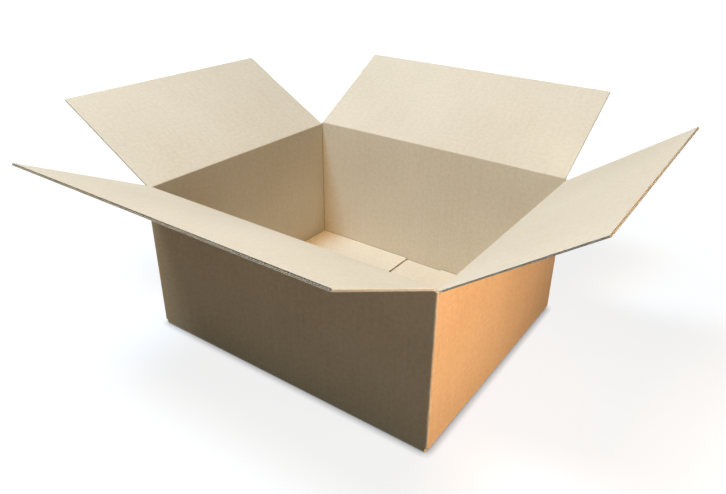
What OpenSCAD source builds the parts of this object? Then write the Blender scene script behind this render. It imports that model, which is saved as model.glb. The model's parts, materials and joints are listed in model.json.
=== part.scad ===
// Double wall cardboard box, standing open on its closed bottom flaps, in millimetres.
// X runs along the long walls, Y across the box from front to back, and Z up from the ground.

/* [Box] */
// Inside length, between the left and right walls
inside_length = 1000; // [700:10:1300]
// Inside width, between the front and back walls
inside_width = 830; // [600:10:1000]
// Height of the short flaps' creases above the ground
crease_height = 484; // [300:1:700]
// Outside radius of the folded corners
fold_radius = 5.5; // [3:0.5:5.5]

/* [Board] */
// Thickness of each of the three liners
liner = 0.4; // [0.3:0.1:0.6]
// Height of the row of small flutes, next to the outside face
small_flute = 2.2; // [1.8:0.1:2.6]
// Height of the row of large flutes, next to the inside face
large_flute = 3.2; // [2.8:0.1:3.8]
// Pitch of the small flutes
small_pitch = 6.4; // [5.6:0.1:7.2]
// Pitch of the large flutes
large_pitch = 7.9; // [7:0.1:9]
// Depth to which the flutes are open at a flap's free edge
flute_depth = 14; // [4:1:40]
// Depth of the open space between the liners at the other cut edges
side_depth = 3; // [1:0.5:5]
// Space between the tip of a flute and the middle liner
flute_tip = 0.25; // [0.15:0.05:0.5]

/* [Top flaps] */
// Angle of the front flap above level
front_angle = 26.4; // [0:0.1:60]
// Angle of the back flap above level
back_angle = 30.3; // [0:0.1:60]
// Angle of the left flap above level
left_angle = 30; // [0:0.1:60]
// Angle of the right flap above level
right_angle = 35.7; // [0:0.1:60]
// Angle below level at which a flap that hangs outside stops
hang_angle = 60; // [30:1:68]
// Gap left between the two long flaps when they are closed
meeting_gap = 14; // [1:1:30]
// Gap between the short flaps and the long flaps above them when all are closed
layer_gap = 0.4; // [0.3:0.1:1]

/* [Slots] */
// Clear space between the end of a crease and the inside of the wall beside it
slot_clearance = 1; // [0.6:0.1:4]
// Running clearance between the side of a flap and the folded corner beside it
flap_ease = 0.5; // [0.2:0.1:1.5]
// Height of plain wall left below the creases' bevels
bevel_margin = 0.5; // [0.2:0.1:4]

/* [Crease] */
// Depth of the line that a flap turns on below the outside face
crease_inset = 2.2; // [1.8:0.1:2.6]
// Radius of the pressed bead along that line
bead_radius = 1.2; // [0.8:0.1:1.4]
// Running clearance around the bead
bead_gap = 0.3; // [0.2:0.05:0.4]
// Ease of the bevels on both sides of the crease, in degrees
bevel_ease = 2; // [1:0.5:4]

/* [Bottom flaps] */
// Gap between the long bottom flaps, along the middle of the underside
bottom_seam = 0.5; // [0.2:0.1:0.6]
// Least gap between two facing short flaps
short_gap = 20; // [4:1:60]

/* [Joint tab] */
// Width of the glued tab inside the front left corner
tab_width = 38; // [25:1:60]
// Length by which each end of the tab slants
tab_slant = 10; // [0:1:20]
// Distance from the left face to the cut edge of the front wall
tab_setback = 1; // [0.5:0.1:3]

/* [Hidden] */
$fn = 48;
board = 3 * liner + small_flute + large_flute;
half_x = inside_length / 2 + board;
half_y = inside_width / 2 + board;
long_crease = crease_height + board + layer_gap;
flap_inset = board + slot_clearance;
long_span = 2 * (half_x - flap_inset);
short_span = 2 * (half_y - flap_inset);
outer_bevel = crease_inset * tan(45 + hang_angle / 2 + bevel_ease);
inner_bevel = (board - crease_inset) * tan(45 + bevel_ease);
long_flap = half_y - crease_inset - meeting_gap / 2;
short_flap = min(long_flap + long_crease - crease_height, half_x - crease_inset - short_gap / 2);
ring_top = crease_height - outer_bevel - bevel_margin;
slot_floor = (crease_height + long_crease) / 2;
long_bottom = half_y - bottom_seam / 2;
short_bottom = min(long_bottom + board, half_x - short_gap / 2);
small_from = liner;
large_from = 2 * liner + small_flute;
cut_past = 1;
outside_kraft = [0.80, 0.58, 0.38];
inside_kraft = [0.88, 0.80, 0.66];

// Open spaces between the three liners at a cut edge on the Y axis, from the outside face upwards
module edge_gaps() {
    translate([-cut_past, small_from])
        square([side_depth + cut_past, small_flute]);
    translate([-cut_past, large_from])
        square([side_depth + cut_past, large_flute]);
}

// Plan of the four walls: three folded corners, and the front wall lapped over the tab at the fourth
module wall_plan() {
    difference() {
        union() {
            translate([fold_radius - half_x, -half_y])
                square([2 * (half_x - fold_radius), 2 * half_y]);
            translate([-half_x, board + fold_radius - liner - half_y])
                square([fold_radius, 2 * (half_y - fold_radius) - board + liner]);
            translate([half_x - fold_radius, fold_radius - half_y])
                square([fold_radius, 2 * (half_y - fold_radius)]);
            translate([tab_setback - half_x, -half_y])
                square([fold_radius, board]);
            translate([fold_radius - half_x, board + fold_radius - liner - half_y])
                circle(fold_radius);
            translate([fold_radius - half_x, half_y - fold_radius])
                circle(fold_radius);
            translate([half_x - fold_radius, half_y - fold_radius])
                circle(fold_radius);
            translate([half_x - fold_radius, fold_radius - half_y])
                circle(fold_radius);
        }
        square([inside_length, inside_width], center = true);
        translate([tab_setback - half_x, -half_y])
            edge_gaps();
    }
}

// Plan of the four folded corners alone, which stand up between the creases to the slots
module corner_plan() {
    intersection() {
        wall_plan();
        difference() {
            square([2 * half_x, 2 * half_y], center = true);
            square([long_span, 2 * half_y], center = true);
            square([2 * half_x, short_span], center = true);
        }
    }
}

// Section of one wall with its bottom flap folded in, from the outside face inwards
module wall_section(base, crease, reach) {
    difference() {
        union() {
            polygon([
                [0, base + fold_radius],
                [0, crease - outer_bevel],
                [crease_inset, crease],
                [board, crease - inner_bevel],
                [board, base + fold_radius]
            ]);
            translate([fold_radius, base])
                square([reach - fold_radius, board]);
            intersection() {
                translate([fold_radius, base + fold_radius])
                    circle(fold_radius);
                translate([0, base])
                    square(fold_radius);
            }
        }
        translate([crease_inset, crease])
            circle(bead_radius + bead_gap);
        translate([reach, base])
            mirror([1, 0])
                edge_gaps();
    }
}

// One wall between its slots, turned from the front to its own side
module wall(turn, half, span, base, crease, reach) {
    rotate([0, 0, turn])
        translate([0, -half, 0])
            rotate([90, 0, 90])
                linear_extrude(height = span, center = true)
                    wall_section(base, crease, reach);
}

// Tab of the left wall, glued to the inside of the front wall
module joint_tab() {
    low = 2 * board + slot_clearance;
    root = board - half_x;
    tip = root + tab_width;
    translate([0, 2 * board - half_y, 0])
        rotate([90, 0, 0])
            linear_extrude(height = board)
                polygon([
                    [root - liner, low],
                    [tip, low + tab_slant],
                    [tip, ring_top - tab_slant],
                    [root - liner, ring_top]
                ]);
}

module box_body() {
    color(outside_kraft)
        union() {
            translate([0, 0, 2 * board])
                linear_extrude(height = ring_top - 2 * board)
                    wall_plan();
            translate([0, 0, 2 * board])
                linear_extrude(height = slot_floor - 2 * board)
                    corner_plan();
            wall(0, half_y, long_span, 0, long_crease, long_bottom);
            wall(180, half_y, long_span, 0, long_crease, long_bottom);
            wall(-90, half_x, short_span, board, crease_height, short_bottom);
            wall(90, half_x, short_span, board, crease_height, short_bottom);
            joint_tab();
        }
}

// Outline of the open space beside one row of flutes, with the middle liner along its straight side
module flute_row(span, pitch, height) {
    teeth = floor(span / pitch);
    side = span / 2 + cut_past;
    wave = [for (i = [0 : 2 * teeth])
        [(teeth - i) * pitch / 2, i % 2 == 0 ? height : flute_tip]];
    polygon(concat(
        [[-side, 0], [side, 0], [side, height]],
        wave,
        [[-side, height]]
    ));
}

// One flap lying level, with its crease on the X axis and its inside face upwards
module flap(span, length) {
    difference() {
        union() {
            rotate([90, 0, 90])
                linear_extrude(height = span, center = true)
                    polygon([
                        [0, 0],
                        [outer_bevel, -crease_inset],
                        [length, -crease_inset],
                        [length, board - crease_inset],
                        [inner_bevel, board - crease_inset]
                    ]);
            rotate([0, 90, 0])
                cylinder(r = bead_radius, h = span, center = true);
        }
        translate([0, length + cut_past, 0])
            rotate([90, 0, 0])
                linear_extrude(height = flute_depth + cut_past)
                    union() {
                        translate([0, large_from - crease_inset])
                            flute_row(span, large_pitch, large_flute);
                        translate([0, small_from + small_flute - crease_inset])
                            mirror([0, 1])
                                flute_row(span, small_pitch, small_flute);
                    }
        for (turn = [0, 1])
            mirror([turn, 0, 0])
                translate([-span / 2, length + cut_past, -crease_inset])
                    rotate([90, 0, 0])
                        linear_extrude(height = length + cut_past - outer_bevel - liner)
                            edge_gaps();
    }
}

// One flap on its wall, turned from the back to its own side
module placed_flap(turn, half, crease, rise, span, length) {
    color(inside_kraft)
        rotate([0, 0, turn])
            translate([0, half - crease_inset, crease])
                rotate([rise, 0, 0])
                    flap(span, length);
}

module front_flap() {
    placed_flap(180, half_y, long_crease, front_angle, long_span - 2 * flap_ease, long_flap);
}

module back_flap() {
    placed_flap(0, half_y, long_crease, back_angle, long_span - 2 * flap_ease, long_flap);
}

module left_flap() {
    placed_flap(90, half_x, crease_height, left_angle, short_span - 2 * flap_ease, short_flap);
}

module right_flap() {
    placed_flap(-90, half_x, crease_height, right_angle, short_span - 2 * flap_ease, short_flap);
}

box_body();
front_flap();
back_flap();
left_flap();
right_flap();
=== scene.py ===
"""An open double wall cardboard box: its fluted board, its creases, its paper and a plain studio."""

import json
import math
import random
from functools import partial
from itertools import product

import bpy
from mathutils import Matrix, Vector


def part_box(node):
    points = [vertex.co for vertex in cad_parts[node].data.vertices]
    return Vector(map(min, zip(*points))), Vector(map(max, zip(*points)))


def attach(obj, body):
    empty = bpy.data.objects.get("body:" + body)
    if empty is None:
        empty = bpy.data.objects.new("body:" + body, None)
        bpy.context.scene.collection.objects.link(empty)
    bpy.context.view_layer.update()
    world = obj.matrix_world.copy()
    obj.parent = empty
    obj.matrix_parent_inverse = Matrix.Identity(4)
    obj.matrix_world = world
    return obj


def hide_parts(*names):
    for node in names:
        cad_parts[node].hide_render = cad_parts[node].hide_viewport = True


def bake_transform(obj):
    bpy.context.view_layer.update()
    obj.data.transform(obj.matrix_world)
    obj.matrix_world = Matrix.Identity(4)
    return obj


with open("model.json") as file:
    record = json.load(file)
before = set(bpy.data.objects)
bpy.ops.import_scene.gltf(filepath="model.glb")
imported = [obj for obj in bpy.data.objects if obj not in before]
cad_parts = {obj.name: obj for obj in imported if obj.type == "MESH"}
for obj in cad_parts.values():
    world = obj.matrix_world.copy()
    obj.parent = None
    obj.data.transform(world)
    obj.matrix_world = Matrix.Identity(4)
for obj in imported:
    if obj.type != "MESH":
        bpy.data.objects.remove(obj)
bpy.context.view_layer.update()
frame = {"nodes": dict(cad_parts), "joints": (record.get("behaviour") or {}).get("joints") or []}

MM = 0.001

# The board's layers, as in the part's source, from the outside face inwards
LINER = 0.4 * MM
SMALL_FLUTE = 2.2 * MM
LARGE_FLUTE = 3.2 * MM
SMALL_PITCH = 6.4 * MM
LARGE_PITCH = 7.9 * MM
BOARD = 3 * LINER + SMALL_FLUTE + LARGE_FLUTE
SMALL_FROM = LINER
MIDDLE_FROM = SMALL_FROM + SMALL_FLUTE
LARGE_FROM = MIDDLE_FROM + LINER
INNER_FROM = LARGE_FROM + LARGE_FLUTE
LAYER_DEPTHS = (0.0, SMALL_FROM, MIDDLE_FROM, LARGE_FROM, INNER_FROM, BOARD)

# The fluted media, and the cut edges that the knife left uneven and pressed
MEDIUM = 0.28 * MM
FLUTE_SAMPLES = 12
FLUTE_WANDER = 0.04
CUT_WANDER = 0.12 * MM
CORE_START = 13 * MM
EDGE_PRESS = 0.3
PRESS_WIDTH = 6 * MM
PRESS_STEPS = 5

# The creases, as in the part's source
HANG_ANGLE = 60
BEVEL_EASE = 2
CREASE_INSET = 2.2 * MM
INNER_DEPTH = BOARD - CREASE_INSET
OUTER_BEVEL = CREASE_INSET * math.tan(math.radians(45 + HANG_ANGLE / 2 + BEVEL_EASE))
INNER_BEVEL = INNER_DEPTH * math.tan(math.radians(45 + BEVEL_EASE))

# The bent board over a crease: its end on the flap, its outer fillet, and the short part that bends
CREASE_REACH = 12 * MM
FILLET = 1.4 * MM
ARC_STEPS = 12

# Edges that turn by more than this are shaded sharp
SHARP_ANGLE = math.radians(40)

# The bottom flaps and folded corners, as in the part's source
FOLD_RADIUS = 5.5 * MM
BOTTOM_SEAM = 0.5 * MM
SLOT_CLEARANCE = 1 * MM
SIDE_DEPTH = 3 * MM

# What tells the body's faces apart: a small depth, how steep a face is, and where its cut rims begin
HAIR = 0.2 * MM
STEEP = 0.5
RIM_FROM = 3 * BOARD

# The papers, each from its darkest to its lightest tone
KRAFT = ((0.55, 0.28, 0.115), (0.78, 0.45, 0.21))
CREAM = ((0.67, 0.57, 0.43), (0.83, 0.75, 0.61))
CUT = ((0.64, 0.54, 0.40), (0.82, 0.74, 0.60))
MEDIA = ((0.58, 0.47, 0.33), (0.76, 0.65, 0.50))
# Kraft worn pale along the outside folds, made paler still as a painted highlight
WORN_AND_HIGHLIT_KRAFT = (0.86, 0.63, 0.40)
# Painted shade for the pressed fold lines inside
FOLD_PAINTED_SHADE = (0.26, 0.17, 0.09)
PAPER_ROUGHNESS = (0.70, 0.95)
RELIEF = 0.06 * MM
RELIEF_STRENGTH = 0.25
RIDGE_SHARE = 0.5

# The paper's marks: size across the flutes, size along them, and octaves of finer detail
FIBRE = (4.0 * MM, 0.7 * MM, 2.0)
CLOUD = (14 * MM, 11 * MM, 4.0)
STREAK = (9 * MM, 260 * MM, 1.0)
PATCH = (340 * MM, 270 * MM, 2.0)
FLECK = (5.0 * MM, 1.1 * MM, 1.0)
# The pattern of the folds' wear and painted highlight
WEAR_AND_HIGHLIGHT_MARK = (6 * MM, 30 * MM, 3.0)

# The marks' shares of the tone, the ranges of noise that count, the outside folds worn pale and given a
# painted highlight, and the painted shade in the pressed fold lines inside
FIBRE_SHARE = 0.30
CLOUD_SHARE = 0.38
STREAK_SHARE = 0.12
PATCH_SHARE = 0.20
FLECK_SHARE = 0.16
TONE_RANGE = (0.26, 0.74)
FLECK_RANGE = (0.66, 0.80)
WEAR_AND_HIGHLIGHT_RANGE = (0.34, 0.66)
WEAR_AND_HIGHLIGHT_WIDTH = 9 * MM
WEAR_AND_HIGHLIGHT_STRENGTH = 0.75
# Width and strength of the painted shade in the pressed fold lines inside
PAINTED_SHADE_WIDTH = 2.2 * MM
PAINTED_SHADE_STRENGTH = 0.8

# The camera that took the photograph, worked out from the straight edges of the box in it
IMAGE_SIZE = (726, 494)
CENTRE_PIXEL = (380.8, 234.4)
FOCAL_PIXELS = 639.5
SENSOR_WIDTH = 36
CAMERA_PLACE = Vector((1.0725, -1.5073, 1.2468))
CAMERA_AZIMUTH = math.radians(33.67)
CAMERA_ELEVATION = math.radians(26.81)
CAMERA_ROLL = math.radians(1.29)

# The studio's floor, whose white glow is weaker near the box, and darkened by a painted contact shadow
# where the box nearly touches it
FLOOR_HALF = 12.0
FLOOR_DROP = 0.3 * MM
FLOOR_COLOUR = (0.18, 0.185, 0.195, 1)
FLOOR_ROUGHNESS = 0.9
GLOW_NEAR, GLOW_FAR = 0.84, 1.02
GLOW_RANGE = (1.2, 3.0)
CONTACT_SHADE_REACH = 24 * MM
CONTACT_SHADE_SAMPLES = 8
WHITE = (1, 1, 1, 1)

# The dim light from all round, and each lamp's place, target, size, beam angle, power and colour
AMBIENT_COLOUR = (0.72, 0.84, 1.0, 1)
AMBIENT_LEVEL = 0.02
LAMPS = {
    # Overhead: the warm lamp reaches the inside of the left wall, and the cool one does not
    "warm_over": ((-0.2, -1.5, 5.5), (0.0, 0.0, 0.4), 1.6, 180, 165, (1.0, 0.62, 0.25)),
    "cool_over": ((-1.35, -1.45, 5.5), (0.0, 0.0, 0.4), 1.6, 180, 272, (0.475, 0.75, 1.0)),
    # Sun on the right wall, and sky on the right and on the front wall
    "warm_side": ((2.3, -0.16, 0.45), (0.5, -0.46, 0.42), 0.5, 84, 7.7, (1.0, 0.82, 0.60)),
    "cool_right": ((2.4, -0.38, 0.8), (0.85, 0.0, 0.7), 0.6, 180, 7, (0.55, 0.80, 1.0)),
    "cool_front": ((0.9, -2.9, 0.15), (0.1, -0.4, 0.1), 1.2, 180, 24, (0.33, 0.64, 1.0)),
    # Fill for the left and back walls
    "far_side": ((-2.6, 2.6, 0.3), (-0.4, 0.4, 0.25), 1.2, 180, 48, (1.0, 0.95, 0.88)),
}

# The outside faces of the walls, and the cut edges of the short bottom flaps
_, body_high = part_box("box_body")
HALF_X = body_high.x
HALF_Y = body_high.y
SHORT_REACH = HALF_Y - BOTTOM_SEAM / 2 + BOARD
SHORT_EDGE = HALF_X - SHORT_REACH

# Places in the list of papers that the pieces share
INNER_PAPER, OUTER_PAPER, CUT_PAPER, MEDIUM_PAPER = range(4)


class Flap:
    """Place, angle and size of one top flap, read from its joint and its box in the frame.

    Its directions are out (level, from the box), away (from the crease along the flap),
    inward (from the outside face to the inside face) and side (along the crease).
    """

    def __init__(self, joint):
        self.name = joint["child"]
        self.hinge = Vector(joint["pos_m"])
        self.out = Vector((self.hinge.x, self.hinge.y, 0)).normalized()
        up = Vector((0, 0, 1))
        # A closed flap lies level, so the way there is half a turn less the rise
        self.rise = math.radians(180 - joint["range_deg"][1])
        self.away = self.out * math.cos(self.rise) + up * math.sin(self.rise)
        self.inward = up * math.cos(self.rise) - self.out * math.sin(self.rise)
        self.side = self.away.cross(self.inward)
        low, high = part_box(self.name)
        self.half_span = abs((high - low).dot(self.side)) / 2
        tip = high.z - self.hinge.z - INNER_DEPTH * math.cos(self.rise)
        self.length = tip / math.sin(self.rise)

    def columns(self):
        """Places along the crease, close together where the side edges are pressed."""
        near = [PRESS_WIDTH * i / PRESS_STEPS - self.half_span for i in range(PRESS_STEPS + 1)]
        return near + [-along for along in reversed(near)]

    def point(self, along, reach, depth):
        """A point in the board: along the crease, out from it, and in from the outside face."""
        middle = MIDDLE_FROM + LINER / 2
        near = max(0.0, 1 - (self.half_span - abs(along)) / PRESS_WIDTH)
        pressed = middle + (depth - middle) * (1 - EDGE_PRESS * near ** 2)
        height = pressed - CREASE_INSET
        return self.hinge + self.side * along + self.away * reach + self.inward * height

    def sheet(self, along, reach):
        """The same place on the flat sheet, which carries on from the wall below."""
        return along, self.hinge.z + reach

    def section_point(self, along, outwards, height):
        """A point beside the crease, from its axis outwards and up, on the wall's own axes."""
        return self.hinge + self.side * along + self.out * outwards + Vector((0, 0, height))


class Mesh:
    """Points, faces, papers and sheet coordinates gathered for one piece."""

    def __init__(self):
        self.points = []
        self.sheet = []
        self.faces = []
        self.papers = []

    def add_point(self, place, sheet):
        self.points.append(place)
        self.sheet.append(sheet)
        return len(self.points) - 1

    def add_face(self, corners, paper):
        self.faces.append(corners)
        self.papers.append(paper)

    def add_block(self, size, place, paper):
        """The skin of a bent block: a grid of points, with faces on its six sides only.

        place gives a grid point's position and sheet coordinates. paper gives a face's paper
        from the axis that it lies across, the end of that axis, and its step on the last other axis.
        """
        made = {}

        def corner(step):
            if step not in made:
                made[step] = self.add_point(*place(*step))
            return made[step]

        last = [count - 1 for count in size]
        for axis in range(3):
            first, second = [other for other in range(3) if other != axis]
            for end in (0, last[axis]):
                turned = (end == 0) != (axis == 1)
                for a, b in product(range(last[first]), range(last[second])):
                    corners = []
                    for more_a, more_b in ((0, 0), (1, 0), (1, 1), (0, 1)):
                        step = [end, end, end]
                        step[first] = a + more_a
                        step[second] = b + more_b
                        corners.append(corner(tuple(step)))
                    if turned:
                        corners.reverse()
                    self.add_face(corners, paper(axis, end, b))

    def build(self, name, papers):
        """The piece, with only the papers that it uses, and smooth but for its sharp edges."""
        used = sorted(set(self.papers))
        data = bpy.data.meshes.new(name)
        data.from_pydata(self.points, [], self.faces)
        layer = data.uv_layers.new(name="sheet")
        for loop in data.loops:
            layer.data[loop.index].uv = self.sheet[loop.vertex_index]
        for paper in used:
            data.materials.append(papers[paper])
        data.polygons.foreach_set("material_index", [used.index(paper) for paper in self.papers])
        data.shade_smooth()
        data.set_sharp_from_angle(angle=SHARP_ANGLE)
        data.update()
        piece = bpy.data.objects.new(name, data)
        bpy.context.scene.collection.objects.link(piece)
        return piece


class Graph:
    """A material's nodes, with one short call for each kind that the papers and the floor need."""

    def __init__(self, name):
        self.material = bpy.data.materials.new(name)
        self.material.use_nodes = True
        self.nodes = self.material.node_tree.nodes
        self.links = self.material.node_tree.links
        self.shader = self.nodes["Principled BSDF"]

    def feed(self, socket, value):
        """Link a socket to another socket, or set it to a plain value."""
        if isinstance(value, bpy.types.NodeSocket):
            self.links.new(value, socket)
        else:
            socket.default_value = value

    def math(self, operation, *values):
        node = self.nodes.new("ShaderNodeMath")
        node.operation = operation
        for socket, value in zip(node.inputs, values):
            self.feed(socket, value)
        return node.outputs[0]

    def combine(self, x, y):
        node = self.nodes.new("ShaderNodeCombineXYZ")
        for socket, value in zip(node.inputs, (x, y)):
            self.feed(socket, value)
        return node.outputs[0]

    def separate(self, vector):
        node = self.nodes.new("ShaderNodeSeparateXYZ")
        self.feed(node.inputs[0], vector)
        return node.outputs

    def mark(self, across, along, kind):
        """Noise with the grain of one kind of mark."""
        width, length, detail = kind
        wide = self.math("DIVIDE", across, width)
        tall = self.math("DIVIDE", along, length)
        node = self.nodes.new("ShaderNodeTexNoise")
        node.noise_dimensions = "2D"
        self.feed(node.inputs["Vector"], self.combine(wide, tall))
        self.feed(node.inputs["Scale"], 1.0)
        self.feed(node.inputs["Detail"], detail)
        return node.outputs["Fac"]

    def mix(self, share, first, second):
        node = self.nodes.new("ShaderNodeMix")
        node.data_type = "RGBA"
        sockets = [s for s in node.inputs if s.enabled]
        for socket, value in zip(sockets, (share, first, second)):
            self.feed(socket, (*value, 1.0) if isinstance(value, tuple) else value)
        return next(s for s in node.outputs if s.enabled)

    def between(self, value, low, high):
        """How far a value lies from low to high, held between 0 and 1."""
        node = self.nodes.new("ShaderNodeMapRange")
        for socket, number in zip(node.inputs, (value, low, high, 0.0, 1.0)):
            self.feed(socket, number)
        return node.outputs[0]

    def less(self, value, limit):
        return self.math("LESS_THAN", value, limit)

    def more(self, value, limit):
        return self.math("GREATER_THAN", value, limit)

    def both(self, first, second):
        return self.math("MULTIPLY", first, second)

    def either(self, first, second):
        return self.math("MAXIMUM", first, second)

    def opposite(self, value):
        return self.math("SUBTRACT", 1.0, value)

    def choose(self, share, first, second):
        """The first number where share is 0, and the second where it is 1."""
        return self.math("ADD", self.both(first, self.opposite(share)), self.both(second, share))


def paper_marks(graph, across, along):
    """Fibres, clouds, flute streaks, broad patches and dark flecks as one tone from 0 to 1.

    The fibres and the clouds are also given alone, for the relief and the roughness.
    """
    fibre = graph.mark(across, along, FIBRE)
    cloud = graph.mark(across, along, CLOUD)
    streak = graph.mark(across, along, STREAK)
    patch = graph.mark(across, along, PATCH)
    fleck = graph.between(graph.mark(across, along, FLECK), *FLECK_RANGE)
    tone = graph.math("MULTIPLY", fibre, FIBRE_SHARE)
    tone = graph.math("MULTIPLY_ADD", cloud, CLOUD_SHARE, tone)
    tone = graph.math("MULTIPLY_ADD", streak, STREAK_SHARE, tone)
    tone = graph.math("MULTIPLY_ADD", patch, PATCH_SHARE, tone)
    tone = graph.math("MULTIPLY_ADD", fleck, -FLECK_SHARE, tone)
    return graph.between(tone, *TONE_RANGE), fibre, cloud


def washboard(graph, across, pitch):
    """Height of the faint ridges that the flutes leave in a liner."""
    turn = graph.math("MULTIPLY", across, 2 * math.pi / pitch)
    return graph.math("SINE", turn)


def finish_paper(graph, colour, fibre, cloud, ridges):
    """The paper's colour, roughness and fine relief on the shader."""
    graph.feed(graph.shader.inputs["Base Color"], colour)
    low, high = PAPER_ROUGHNESS
    roughness = graph.math("MULTIPLY_ADD", cloud, high - low, low)
    graph.feed(graph.shader.inputs["Roughness"], roughness)
    bump = graph.nodes.new("ShaderNodeBump")
    bump.inputs["Strength"].default_value = RELIEF_STRENGTH
    bump.inputs["Distance"].default_value = RELIEF
    graph.feed(bump.inputs["Height"], graph.math("MULTIPLY_ADD", ridges, RIDGE_SHARE, fibre))
    graph.feed(graph.shader.inputs["Normal"], bump.outputs[0])
    return graph.material


def sheet_paper(name, tones, pitch):
    """A paper for pieces that carry their own sheet coordinates."""
    graph = Graph(name)
    place = graph.nodes.new("ShaderNodeUVMap")
    place.uv_map = "sheet"
    across, along, _ = graph.separate(place.outputs[0])
    tone, fibre, cloud = paper_marks(graph, across, along)
    colour = graph.mix(tone, *tones)
    return finish_paper(graph, colour, fibre, cloud, washboard(graph, across, pitch))


def walls_paper():
    """The papers of the box body, picked by how deep a point lies in the board and where it faces."""
    graph = Graph("box_papers")
    less, more, both, either = graph.less, graph.more, graph.both, graph.either
    place = graph.nodes.new("ShaderNodeTexCoord").outputs["Object"]
    facing = graph.nodes.new("ShaderNodeNewGeometry").outputs["True Normal"]
    x, y, z = graph.separate(place)
    face_z = graph.separate(facing)[2]

    depth_x = graph.math("SUBTRACT", HALF_X, graph.math("ABSOLUTE", x))
    depth_y = graph.math("SUBTRACT", HALF_Y, graph.math("ABSOLUTE", y))
    depth = graph.math("MINIMUM", depth_x, depth_y)
    farther = graph.math("MAXIMUM", depth_x, depth_y)
    level_up = more(face_z, STEEP)
    upright = less(graph.math("ABSOLUTE", face_z), STEEP)

    # The outside liner covers the outer faces, the underside and every fold, but not the rims in the slots
    corner = less(farther, FOLD_RADIUS)
    low_fold = both(less(z, BOARD + FOLD_RADIUS), less(depth, FOLD_RADIUS))
    outside = either(either(less(depth, HAIR), less(face_z, -STEEP)), either(corner, low_fold))
    rim = both(level_up, more(z, RIM_FROM))
    outside = both(outside, graph.opposite(rim))

    # The inside liner covers the inner faces of the walls, the floor and the tab
    past_board = more(depth, BOARD - HAIR)
    on_wall = less(depth, BOARD + HAIR)
    above_floor = more(z, 2 * BOARD - HAIR)
    inside = both(past_board, either(above_floor, either(level_up, on_wall)))

    # The flutes run up the walls and on across the floor
    on_side_wall = less(depth_x, depth_y)
    on_short_flap = both(past_board, above_floor)
    along_y = either(both(upright, on_side_wall), both(level_up, on_short_flap))
    across = graph.choose(along_y, x, y)
    along = graph.choose(upright, graph.choose(along_y, y, x), z)
    tone, fibre, cloud = paper_marks(graph, across, along)

    # Each cut edge shows the liners paler than the media between them
    small_row = both(more(depth, SMALL_FROM), less(depth, MIDDLE_FROM))
    large_row = both(more(depth, LARGE_FROM), less(depth, INNER_FROM))
    rows = either(small_row, large_row)
    colour = graph.mix(rows, graph.mix(tone, *CUT), graph.mix(tone, *MEDIA))

    # Painted shade: the inside is darkened along the pressed lines of the folds, at the inside corners and
    # the foot of the walls
    open_strip = less(graph.math("ABSOLUTE", x), SHORT_EDGE)
    above = graph.math("SUBTRACT", z, graph.choose(open_strip, 2 * BOARD, BOARD))
    foot = graph.math("MAXIMUM", graph.math("SUBTRACT", depth, BOARD), above)
    upright_fold = graph.math("SUBTRACT", farther, BOARD)
    painted_fold_shade = graph.between(graph.math("MINIMUM", foot, upright_fold), PAINTED_SHADE_WIDTH, 0.0)
    # How strongly the painted shade darkens the cream at each point
    pressed = graph.math("MULTIPLY", painted_fold_shade, PAINTED_SHADE_STRENGTH)
    cream = graph.mix(pressed, graph.mix(tone, *CREAM), FOLD_PAINTED_SHADE)
    colour = graph.mix(inside, colour, cream)

    # The outside is rubbed pale along the folds, and made paler there still as a painted highlight where
    # the folds catch the light
    rubbed_and_highlit = graph.between(graph.mark(across, along, WEAR_AND_HIGHLIGHT_MARK), *WEAR_AND_HIGHLIGHT_RANGE)
    fold = graph.between(graph.math("MINIMUM", farther, z), WEAR_AND_HIGHLIGHT_WIDTH, 0.0)
    wear_and_highlight = graph.math("MULTIPLY", both(rubbed_and_highlit, fold), WEAR_AND_HIGHLIGHT_STRENGTH)
    kraft = graph.mix(wear_and_highlight, graph.mix(tone, *KRAFT), WORN_AND_HIGHLIT_KRAFT)
    colour = graph.mix(outside, colour, kraft)
    return finish_paper(graph, colour, fibre, cloud, washboard(graph, across, SMALL_PITCH))


def add_liner(mesh, flap, depth, outer, inner):
    """One liner of a flap as a thin sheet, with its own paper on each face."""
    columns = flap.columns()
    ends = (CREASE_REACH, flap.length)

    def place(i, j, k):
        return flap.point(columns[i], ends[j], depth + k * LINER), flap.sheet(columns[i], ends[j])

    def paper(axis, end, step):
        if axis != 2:
            return CUT_PAPER
        return inner if end else outer

    mesh.add_block((len(columns), 2, 2), place, paper)


def flap_board(flap, papers):
    """The three liners of a flap, from the end of its crease to its cut edges."""
    mesh = Mesh()
    add_liner(mesh, flap, 0.0, OUTER_PAPER, MEDIUM_PAPER)
    add_liner(mesh, flap, MIDDLE_FROM, MEDIUM_PAPER, MEDIUM_PAPER)
    add_liner(mesh, flap, INNER_FROM, MEDIUM_PAPER, INNER_PAPER)
    piece = mesh.build(flap.name + "_board", papers)
    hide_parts(flap.name)
    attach(piece, flap.name)


def add_wave(mesh, point, half_span, pitch, depth, height, ends, chance):
    """One corrugated medium: a thin sheet that runs in whole waves from side edge to side edge.

    The waves wander a little in height, and their cut ends a little in length.
    """
    waves = round(2 * half_span / pitch)
    steps = waves * FLUTE_SAMPLES
    swing = (height - MEDIUM) / 2
    slope = swing * math.pi * waves / half_span
    swings = [swing * (1 - FLUTE_WANDER * chance.random()) for _ in range(steps + 1)]
    cuts = [[end - CUT_WANDER * chance.random() for end in ends] for _ in range(steps + 1)]

    def place(i, j, k):
        turn = 2 * math.pi * i / FLUTE_SAMPLES
        lean = math.atan(slope * math.sin(turn))
        shift = (k - 0.5) * MEDIUM
        along = -half_span + 2 * half_span * i / steps - shift * math.sin(lean)
        along = max(-half_span, min(half_span, along))
        middle = depth + height / 2 - swings[i] * math.cos(turn)
        return point(along, cuts[i][j], middle + shift * math.cos(lean)), (along, cuts[i][j])

    mesh.add_block((steps + 1, len(ends), 2), place, lambda axis, end, step: MEDIUM_PAPER)


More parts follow.
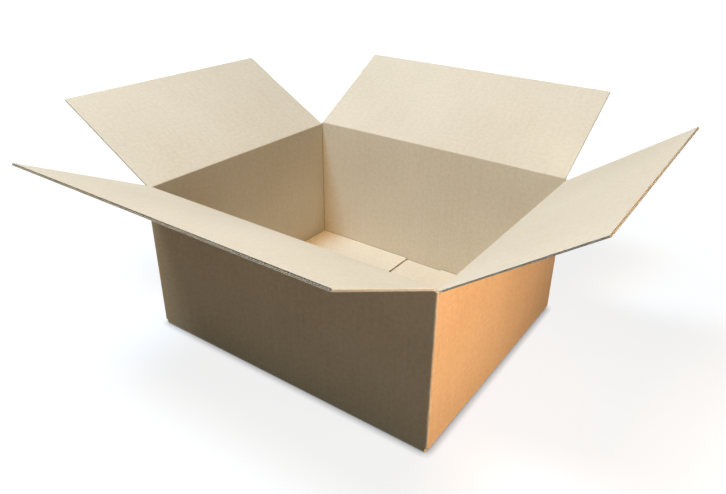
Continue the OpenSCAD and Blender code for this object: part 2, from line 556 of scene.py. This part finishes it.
def flap_flutes(flap, papers):
    """The two corrugated media of a flap, small flutes outside and large ones inside."""
    mesh = Mesh()
    chance = random.Random(flap.name)
    ends = (CORE_START, flap.length)
    add_wave(mesh, flap.point, flap.half_span, SMALL_PITCH, SMALL_FROM, SMALL_FLUTE, ends, chance)
    add_wave(mesh, flap.point, flap.half_span, LARGE_PITCH, LARGE_FROM, LARGE_FLUTE, ends, chance)
    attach(mesh.build(flap.name + "_flutes", papers), flap.name)


def arc(centre, radius, start, end):
    """Points on an arc, from one angle to the other."""
    angles = [start + (end - start) * i / ARC_STEPS for i in range(ARC_STEPS + 1)]
    return [(centre[0] + radius * math.cos(a), centre[1] + radius * math.sin(a)) for a in angles]


def inner_bend(flap):
    """Section of the inside face over a crease, from the wall round the turning axis to the flap."""
    round_axis = arc((0.0, 0.0), INNER_DEPTH, math.pi, math.pi / 2 + flap.rise)
    return [(-INNER_DEPTH, -INNER_BEVEL)] + round_axis


def outer_bend(flap):
    """Section of the outside face under a crease, from the wall through a fillet to the flap."""
    opening = (math.pi / 2 + flap.rise) / 2
    middle = opening - math.pi / 2
    sweep = math.pi / 2 - opening
    reach = (CREASE_INSET + FILLET) / math.sin(opening)
    centre = (reach * math.cos(middle), reach * math.sin(middle))
    fillet = arc(centre, FILLET, middle + math.pi + sweep, middle + math.pi - sweep)
    return [(CREASE_INSET, -OUTER_BEVEL)] + fillet


def crease(flap, papers):
    """The board that carries on from a wall into its flap, bending round the crease."""
    mesh = Mesh()
    columns = flap.columns()
    bends = list(zip(outer_bend(flap), inner_bend(flap)))

    def place(i, j, k):
        along, depth = columns[i], LAYER_DEPTHS[k]
        if j == len(bends):
            return flap.point(along, CREASE_REACH, depth), flap.sheet(along, CREASE_REACH)
        outer, inner = bends[j]
        outwards, height = [a + (b - a) * depth / BOARD for a, b in zip(outer, inner)]
        return flap.section_point(along, outwards, height), flap.sheet(along, height)

    def paper(axis, end, layer):
        if axis == 2:
            return INNER_PAPER if end else OUTER_PAPER
        rows_of_flutes = (1, 3)
        return MEDIUM_PAPER if layer in rows_of_flutes else CUT_PAPER

    mesh.add_block((len(columns), len(bends) + 1, len(LAYER_DEPTHS)), place, paper)
    piece = mesh.build(flap.name.replace("flap", "crease"), papers)
    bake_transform(piece)


def bottom_point(side, along, reach, depth):
    """A point in a short bottom flap: along its cut edge, out past it, and up from the outside face."""
    return Vector((side * (SHORT_EDGE - reach), side * along, BOARD + depth))


def bottom_flutes(papers):
    """The media that show at the cut edges of the short bottom flaps, on the floor of the box."""
    mesh = Mesh()
    chance = random.Random("bottom")
    half_span = HALF_Y - BOARD - SLOT_CLEARANCE
    ends = (-SIDE_DEPTH, 0.0)
    for side in (-1, 1):
        point = partial(bottom_point, side)
        add_wave(mesh, point, half_span, SMALL_PITCH, SMALL_FROM, SMALL_FLUTE, ends, chance)
        add_wave(mesh, point, half_span, LARGE_PITCH, LARGE_FROM, LARGE_FLUTE, ends, chance)
    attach(mesh.build("bottom_flutes", papers), "box")


def lamp(name, place, target, size, beam, power, colour):
    """A soft square lamp that points at a target, with its beam angle in degrees."""
    light = bpy.data.lights.new(name, "AREA")
    light.size = size
    light.spread = math.radians(beam)
    light.energy = power
    light.color = colour
    holder = bpy.data.objects.new(name, light)
    holder.location = place
    holder.rotation_euler = (Vector(target) - Vector(place)).to_track_quat("-Z", "Y").to_euler()
    bpy.context.scene.collection.objects.link(holder)


def floor():
    """A plain floor, grey to the lamps, that a glow shows white round the object, but for its shadow and a
    painted contact shadow beside the box.
    """
    data = bpy.data.meshes.new("floor")
    far = FLOOR_HALF
    data.from_pydata([(-far, -far, 0), (far, -far, 0), (far, far, 0), (-far, far, 0)], [], [(0, 1, 2, 3)])
    piece = bpy.data.objects.new("floor", data)
    piece.location.z = -FLOOR_DROP
    bpy.context.scene.collection.objects.link(piece)
    graph = Graph("floor")
    graph.shader.inputs["Base Color"].default_value = FLOOR_COLOUR
    graph.shader.inputs["Roughness"].default_value = FLOOR_ROUGHNESS
    graph.shader.inputs["Specular IOR Level"].default_value = 0.0
    graph.shader.inputs["Emission Color"].default_value = WHITE
    path = graph.nodes.new("ShaderNodeLightPath").outputs
    reflected = graph.either(path["Is Glossy Ray"], path["Is Transmission Ray"])
    seen = graph.either(path["Is Camera Ray"], reflected)
    distance = graph.nodes.new("ShaderNodeVectorMath")
    distance.operation = "LENGTH"
    graph.feed(distance.inputs[0], graph.nodes.new("ShaderNodeTexCoord").outputs["Object"])
    spread = graph.between(distance.outputs["Value"], *GLOW_RANGE)
    glow = graph.math("MULTIPLY_ADD", spread, GLOW_FAR - GLOW_NEAR, GLOW_NEAR)
    # Painted contact shadow: ambient occlusion darkens the glow where the box nearly touches the floor
    contact_shade = graph.nodes.new("ShaderNodeAmbientOcclusion")
    contact_shade.samples = CONTACT_SHADE_SAMPLES
    contact_shade.inputs["Distance"].default_value = CONTACT_SHADE_REACH
    glow = graph.both(glow, contact_shade.outputs["AO"])
    graph.feed(graph.shader.inputs["Emission Strength"], graph.both(seen, glow))
    data.materials.append(graph.material)


def background():
    """A world that looks white, and lights the object dimly from all round."""
    world = bpy.data.worlds.new("studio")
    world.use_nodes = True
    bpy.context.scene.world = world
    nodes, links = world.node_tree.nodes, world.node_tree.links
    ambient = nodes["Background"]
    ambient.inputs["Color"].default_value = AMBIENT_COLOUR
    ambient.inputs["Strength"].default_value = AMBIENT_LEVEL
    shown = ambient
    path = nodes.new("ShaderNodeLightPath").outputs
    for ray in ("Is Camera Ray", "Is Glossy Ray", "Is Transmission Ray"):
        white = nodes.new("ShaderNodeBackground")
        white.inputs["Color"].default_value = WHITE
        chooser = nodes.new("ShaderNodeMixShader")
        links.new(path[ray], chooser.inputs[0])
        links.new(shown.outputs[0], chooser.inputs[1])
        links.new(white.outputs[0], chooser.inputs[2])
        shown = chooser
    links.new(shown.outputs[0], nodes["World Output"].inputs["Surface"])


def camera():
    """The photograph's camera, with the small shift that its framing needs."""
    back = Vector((
        math.sin(CAMERA_AZIMUTH) * math.cos(CAMERA_ELEVATION),
        -math.cos(CAMERA_AZIMUTH) * math.cos(CAMERA_ELEVATION),
        math.sin(CAMERA_ELEVATION),
    ))
    level = Vector((math.cos(CAMERA_AZIMUTH), math.sin(CAMERA_AZIMUTH), 0))
    upright = back.cross(level)
    right = level * math.cos(CAMERA_ROLL) + upright * math.sin(CAMERA_ROLL)
    turn = Matrix((right, back.cross(right), back)).transposed()
    data = bpy.data.cameras.new("camera")
    data.sensor_width = SENSOR_WIDTH
    data.lens = SENSOR_WIDTH * FOCAL_PIXELS / IMAGE_SIZE[0]
    data.shift_x = (IMAGE_SIZE[0] / 2 - CENTRE_PIXEL[0]) / IMAGE_SIZE[0]
    data.shift_y = (CENTRE_PIXEL[1] - IMAGE_SIZE[1] / 2) / IMAGE_SIZE[0]
    holder = bpy.data.objects.new("camera", data)
    holder.matrix_world = Matrix.Translation(CAMERA_PLACE) @ turn.to_4x4()
    bpy.context.scene.collection.objects.link(holder)
    bpy.context.scene.camera = holder


camera()
floor()
background()
for name, settings in LAMPS.items():
    lamp(name, *settings)

papers = [
    sheet_paper("cream_liner", CREAM, LARGE_PITCH),
    sheet_paper("kraft_liner", KRAFT, SMALL_PITCH),
    sheet_paper("cut_liners", CUT, SMALL_PITCH),
    sheet_paper("fluted_medium", MEDIA, SMALL_PITCH),
]

body = frame["nodes"]["box_body"]
body.material_slots[0].link = "OBJECT"
body.material_slots[0].material = walls_paper()

for joint in frame["joints"]:
    flap = Flap(joint)
    flap_board(flap, papers)
    flap_flutes(flap, papers)
    crease(flap, papers)
bottom_flutes(papers)

bpy.context.scene.view_settings.view_transform = "Standard"
